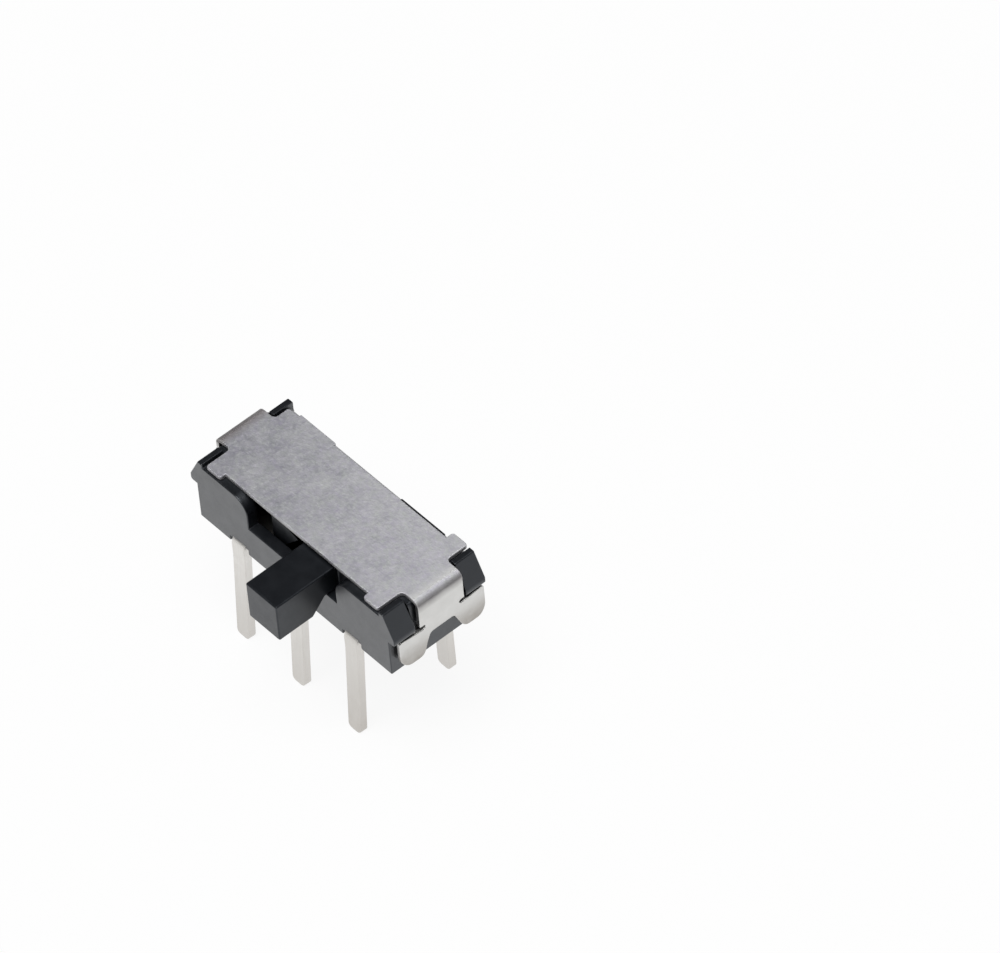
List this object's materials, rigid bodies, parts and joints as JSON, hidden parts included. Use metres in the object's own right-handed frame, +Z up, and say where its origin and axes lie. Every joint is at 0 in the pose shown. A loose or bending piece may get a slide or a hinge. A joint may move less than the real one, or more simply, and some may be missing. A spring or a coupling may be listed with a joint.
{
  "type": "slide switch",
  "caption": "Miniature slide switch: black housing with a clip-on sheet-metal cover, a side lever that slides along a slot, and flat through-hole pins below.",
  "frame": {"origin": "middle of the pin pattern, in the plane of the feet that rest on the board", "axes": "+X along the housing towards the lever's rest position, -Y out of the face that the lever passes through, +Z up from the board to the cover"},
  "size_m": [0.009, 0.0054, 0.0063],
  "materials": {
    "housing_plastic": "satin moulded",
    "slider_plastic": "satin moulded",
    "cover_sheet": "matt tin plate",
    "terminal_plate": "bright tin plate",
    "contact_strip": "bright"
  },
  "bodies": {
    "base": {"housing": "housing_plastic", "cover": "cover_sheet", "terminal_front_left": "terminal_plate", "terminal_front_middle": "terminal_plate", "terminal_front_right": "terminal_plate", "terminal_back_left": "terminal_plate", "terminal_back_middle": "terminal_plate", "terminal_back_right": "terminal_plate"},
    "slider": {"slider": "slider_plastic", "contact_clip_front": "contact_strip", "contact_clip_back": "contact_strip"}
  },
  "joints": [
    {"name": "slider_slide", "type": "slide", "parent": "base", "child": "slider", "axis": [1, 0, 0], "range_m": [-0.0018, 0]}
  ]
}
